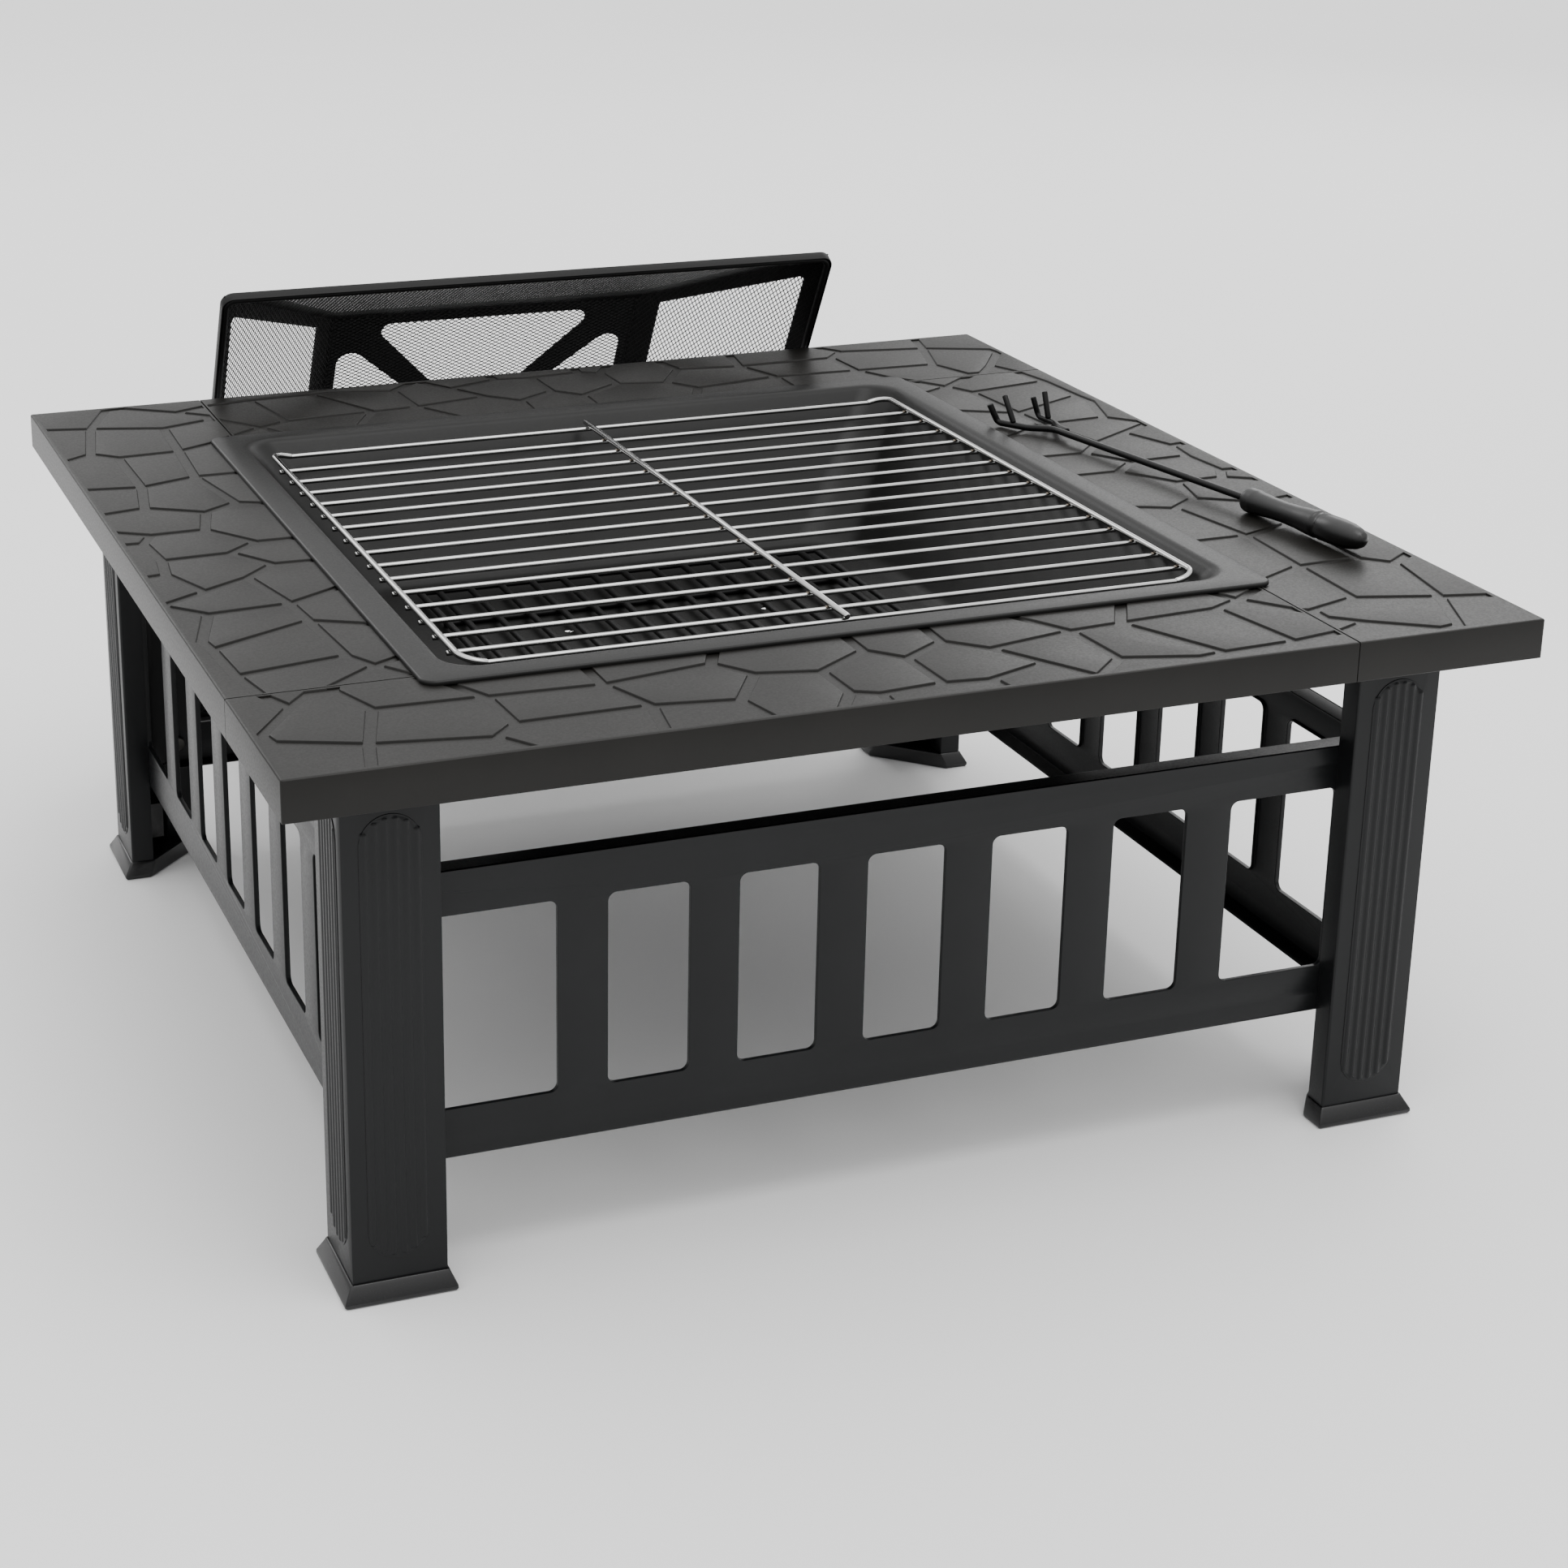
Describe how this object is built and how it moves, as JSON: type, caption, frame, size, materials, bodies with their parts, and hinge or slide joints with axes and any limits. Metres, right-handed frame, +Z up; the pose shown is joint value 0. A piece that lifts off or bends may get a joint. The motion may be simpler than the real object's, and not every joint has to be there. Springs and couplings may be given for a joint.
{
  "type": "square fire pit table with grate",
  "caption": "Square steel fire pit table with a stone-stamped top, sunk fire bowl, charcoal grate, chrome cooking grate, leaning mesh spark screen and fire fork",
  "frame": {"origin": "on the floor, at the middle of the footprint of the table with its spark screen leaning behind it", "axes": "+X along the front edge of the table, to the right; +Y away from the front, towards the spark screen; +Z up"},
  "size_m": [0.813, 1.056, 0.4504],
  "materials": {
    "powder_coat_top": "satin",
    "powder_coat_frame": "satin",
    "bowl_coat": "satin",
    "foot_plastic": "satin",
    "zinc_fastener": "zinc plated",
    "grate_black": "matt",
    "grate_chrome": "bright",
    "screen_coat": "matt",
    "screen_wire": "matt",
    "fork_steel": "satin",
    "fork_grip": "satin"
  },
  "bodies": {
    "table": {"tabletop_panel_front": "powder_coat_top", "leg_front_left": "powder_coat_frame", "foot_front_left": "foot_plastic", "side_frame_front": "powder_coat_frame", "seam_plate_front": "powder_coat_frame", "tabletop_panel_right": "powder_coat_top", "leg_front_right": "powder_coat_frame", "foot_front_right": "foot_plastic", "side_frame_right": "powder_coat_frame", "seam_plate_right": "powder_coat_frame", "tabletop_panel_back": "powder_coat_top", "leg_back_right": "powder_coat_frame", "foot_back_right": "foot_plastic", "side_frame_back": "powder_coat_frame", "seam_plate_back": "powder_coat_frame", "tabletop_panel_left": "powder_coat_top", "leg_back_left": "powder_coat_frame", "foot_back_left": "foot_plastic", "side_frame_left": "powder_coat_frame", "seam_plate_left": "powder_coat_frame", "seam_studs": "zinc_fastener", "seam_nuts": "zinc_fastener", "leg_top_studs": "zinc_fastener", "leg_top_nuts": "zinc_fastener", "frame_bolts": "zinc_fastener", "frame_nuts": "zinc_fastener"},
    "bowl": {"fire_bowl": "bowl_coat"},
    "charcoal": {"charcoal_grate_bars": "grate_black", "charcoal_grate_cross_rods": "grate_black", "charcoal_grate_frame": "grate_black"},
    "cooking": {"cooking_grate_bars": "grate_chrome", "cooking_grate_side_rod_left": "grate_chrome", "cooking_grate_side_rod_right": "grate_chrome", "cooking_grate_centre_rod": "grate_chrome"},
    "screen": {"screen_shell": "screen_coat", "screen_mesh": "screen_wire", "screen_rim_wire": "screen_coat", "screen_handle": "screen_coat", "screen_handle_strap": "screen_coat", "screen_handle_rivets": "zinc_fastener"},
    "fork": {"fork_shaft": "fork_steel", "fork_side_tine": "fork_steel", "fork_prongs": "fork_steel", "fork_ferrule": "fork_steel", "fork_handle": "fork_grip"}
  },
  "joints": [
    {"name": "bowl_lift", "type": "slide", "parent": "table", "child": "bowl", "axis": [0, 0, 1], "range_m": [0, 0.13]},
    {"name": "charcoal_grate_lift", "type": "slide", "parent": "bowl", "child": "charcoal", "axis": [0, 0, 1], "range_m": [0, 0.13]},
    {"name": "cooking_grate_lift", "type": "slide", "parent": "charcoal", "child": "cooking", "axis": [0, 0, 1], "range_m": [0, 0.06]},
    {"name": "screen_lift", "type": "slide", "parent": "table", "child": "screen", "axis": [0, 0, 1], "range_m": [0, 0.4]},
    {"name": "fork_lift", "type": "slide", "parent": "table", "child": "fork", "axis": [0, 0, 1], "range_m": [0, 0.12]}
  ]
}
